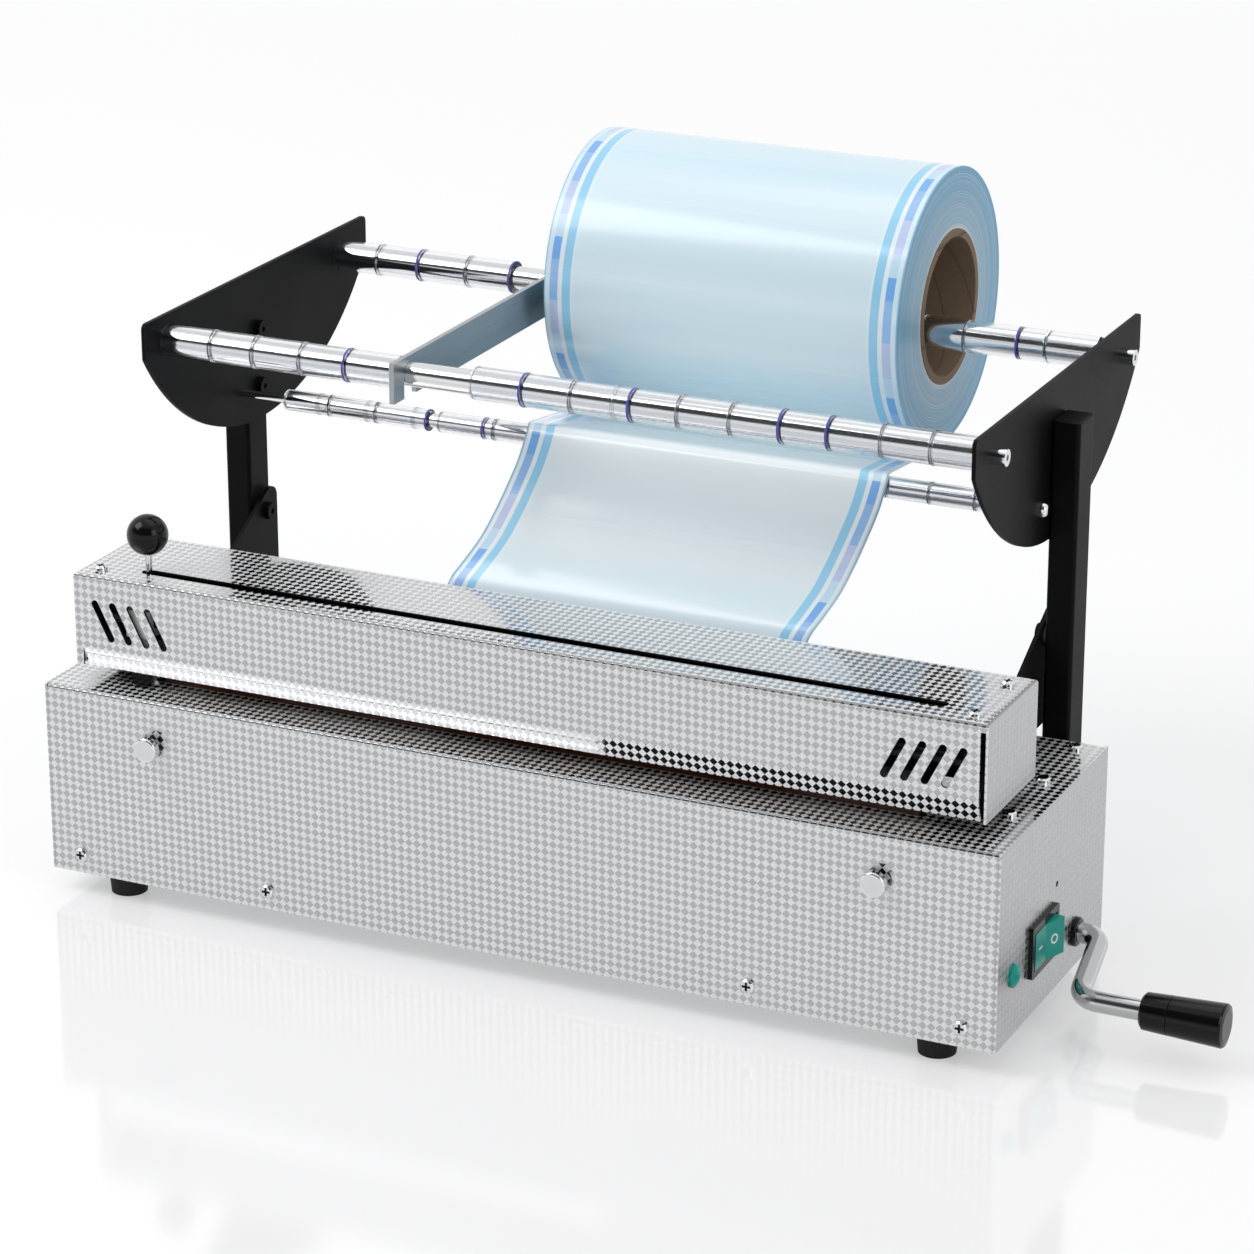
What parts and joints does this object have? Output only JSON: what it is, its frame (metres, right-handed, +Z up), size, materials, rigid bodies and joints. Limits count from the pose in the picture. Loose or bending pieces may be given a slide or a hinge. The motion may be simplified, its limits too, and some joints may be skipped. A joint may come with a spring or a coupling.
{
  "type": "medical heat sealer",
  "caption": "Bench heat sealer for sterilisation pouch film: checker-plate base and jaw head, side crank press, sliding cutter and roll holder behind.",
  "frame": {"origin": "middle of the whole object's bounding box seen from above, at the level of the undersides of the feet", "axes": "+X along the base to the right, where the crank is; +Y from the front to the roll at the back; +Z up"},
  "size_m": [0.593, 0.346, 0.346],
  "materials": {
    "checker_steel": "diamond pattern stainless sheet",
    "plain_steel": "plain steel",
    "spring_steel": "bright spring wire",
    "chrome": "polished",
    "black_paint": "satin black",
    "black_plastic": "gloss black",
    "black_rubber": "matt",
    "white_plastic": "smooth white",
    "teal_plastic": "tinted clear",
    "clear_plastic": "clear",
    "aluminium": "brushed",
    "silicone": "soft, smooth, brown",
    "ptfe_glass_cloth": "brown woven",
    "cardboard": "wound board",
    "film": "pale blue film and white paper",
    "blade_steel": "ground"
  },
  "bodies": {
    "base": {"base_cover": "checker_steel", "side_panel_left": "checker_steel", "side_panel_right": "checker_steel", "bottom_plate": "plain_steel", "feet": "black_rubber", "base_screws": "chrome", "top_screws": "chrome", "stud_caps": "chrome", "stud_necks": "black_plastic", "crank_bush": "black_plastic", "bearing_blocks": "plain_steel", "guide_pins": "plain_steel", "return_springs": "spring_steel", "terminal_block": "white_plastic", "power_inlet": "black_plastic", "switch_bezel": "black_plastic", "pilot_lamp": "teal_plastic", "jaw_cover": "checker_steel", "jaw_brackets": "black_paint", "upper_beam": "black_paint", "heater_bar": "aluminium", "cartridge_heater": "plain_steel", "ptfe_strip": "ptfe_glass_cloth", "thermostat": "black_plastic", "cutter_rail": "chrome", "cover_screws": "chrome", "upright_left": "black_paint", "upright_right": "black_paint", "upright_spacers": "plain_steel", "upright_bolts": "black_paint", "gusset_left": "black_paint", "gusset_right": "black_paint", "side_plate_left": "black_paint", "side_plate_right": "black_paint", "frame_bolts": "black_paint", "front_rod": "chrome", "rear_rod": "chrome", "lower_rod": "chrome", "rod_screws": "chrome", "pouch_web": "film"},
    "crank": {"crank_rod": "chrome", "crank_grip": "black_plastic", "lift_cams": "plain_steel"},
    "press": {"press_bar": "plain_steel", "silicone_pad": "silicone"},
    "cutter": {"cutter_carriage": "white_plastic", "cutter_shoe": "white_plastic", "cutter_blade": "blade_steel", "cutter_stem": "chrome", "cutter_knob": "black_plastic"},
    "rocker": {"switch_rocker": "teal_plastic"},
    "front_left_sleeves": {"front_sleeves_left": "clear_plastic"},
    "front_right_sleeves": {"front_sleeves_right": "clear_plastic"},
    "rear_left_sleeves": {"rear_sleeves_left": "clear_plastic"},
    "rear_right_sleeves": {"rear_sleeves_right": "clear_plastic"},
    "lower_rod_sleeves": {"lower_sleeves": "clear_plastic"},
    "guide": {"roll_guide": "aluminium"},
    "roll": {"roll_core": "cardboard", "film_roll": "film"}
  },
  "joints": [
    {"name": "crank_turn", "type": "hinge", "parent": "base", "child": "crank", "pos_m": [0.2035, -0.0617, 0.03], "axis": [-1, 0, 0], "range_deg": [0, 90]},
    {"name": "press_lift", "type": "slide", "parent": "base", "child": "press", "axis": [0, 0, 1], "range_m": [0, 0.0084], "deforming": ["return_springs"]},
    {"name": "cutter_slide", "type": "slide", "parent": "base", "child": "cutter", "axis": [1, 0, 0], "range_m": [0, 0.414]},
    {"name": "rocker_tilt", "type": "hinge", "parent": "base", "child": "rocker", "pos_m": [0.1995, -0.1087, 0.0446], "axis": [0, 0, 1], "range_deg": [0, 20]},
    {"name": "front_left_sleeves_spin", "type": "hinge", "parent": "base", "child": "front_left_sleeves", "pos_m": [-0.0465, -0.0983, 0.272], "axis": [1, 0, 0], "continuous": true},
    {"name": "front_right_sleeves_spin", "type": "hinge", "parent": "base", "child": "front_right_sleeves", "pos_m": [-0.0465, -0.0983, 0.272], "axis": [1, 0, 0], "continuous": true},
    {"name": "rear_left_sleeves_spin", "type": "hinge", "parent": "base", "child": "rear_left_sleeves", "pos_m": [-0.0465, 0.0769, 0.2704], "axis": [1, 0, 0], "continuous": true},
    {"name": "rear_right_sleeves_spin", "type": "hinge", "parent": "base", "child": "rear_right_sleeves", "pos_m": [-0.0465, 0.0769, 0.2704], "axis": [1, 0, 0], "continuous": true},
    {"name": "lower_sleeves_spin", "type": "hinge", "parent": "base", "child": "lower_rod_sleeves", "pos_m": [-0.0465, -0.0287, 0.225], "axis": [1, 0, 0], "continuous": true},
    {"name": "guide_slide", "type": "slide", "parent": "base", "child": "guide", "axis": [1, 0, 0], "range_m": [-0.0014, 0.0052]},
    {"name": "roll_spin", "type": "hinge", "parent": "base", "child": "roll", "pos_m": [-0.0465, 0.103, 0.276], "axis": [1, 0, 0], "continuous": true}
  ],
  "couplings": [
    {"joint": "crank_turn", "follows": "press_lift", "rad_per_m": 186.99}
  ]
}
